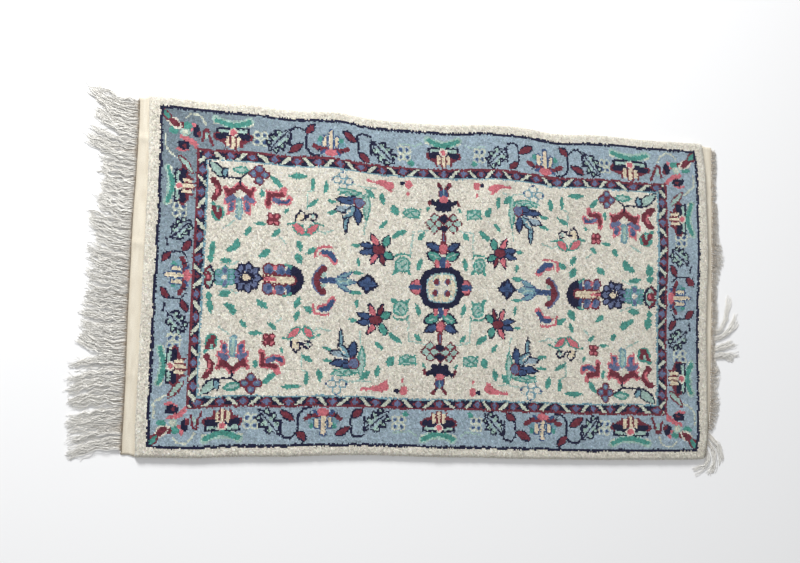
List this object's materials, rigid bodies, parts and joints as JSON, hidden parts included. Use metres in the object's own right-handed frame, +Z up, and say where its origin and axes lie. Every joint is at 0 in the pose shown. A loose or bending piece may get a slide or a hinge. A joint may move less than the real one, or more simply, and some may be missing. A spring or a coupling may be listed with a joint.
{
  "type": "oriental rug",
  "caption": "Small hand-knotted oriental rug lying flat, with a floral field, a flower border, woven ends and cotton fringes.",
  "frame": {"origin": "the middle of the rug on its underside, which lies on the floor", "axes": "+X along the rug's length towards the short fringe, +Y across it towards the far side of the picture, +Z up"},
  "size_m": [1.5559, 0.8199, 0.0158],
  "materials": {
    "wool_pile": "matt knotted wool in ivory, steel blue, navy, maroon, pink and green",
    "cotton_web": "matt flat-woven cotton, undyed",
    "cotton_fringe": "matt twisted cotton yarn, undyed"
  },
  "bodies": {
    "root": {"rug_body": "wool_pile", "fringe_left": "cotton_fringe", "fringe_right": "cotton_fringe"}
  },
  "joints": []
}
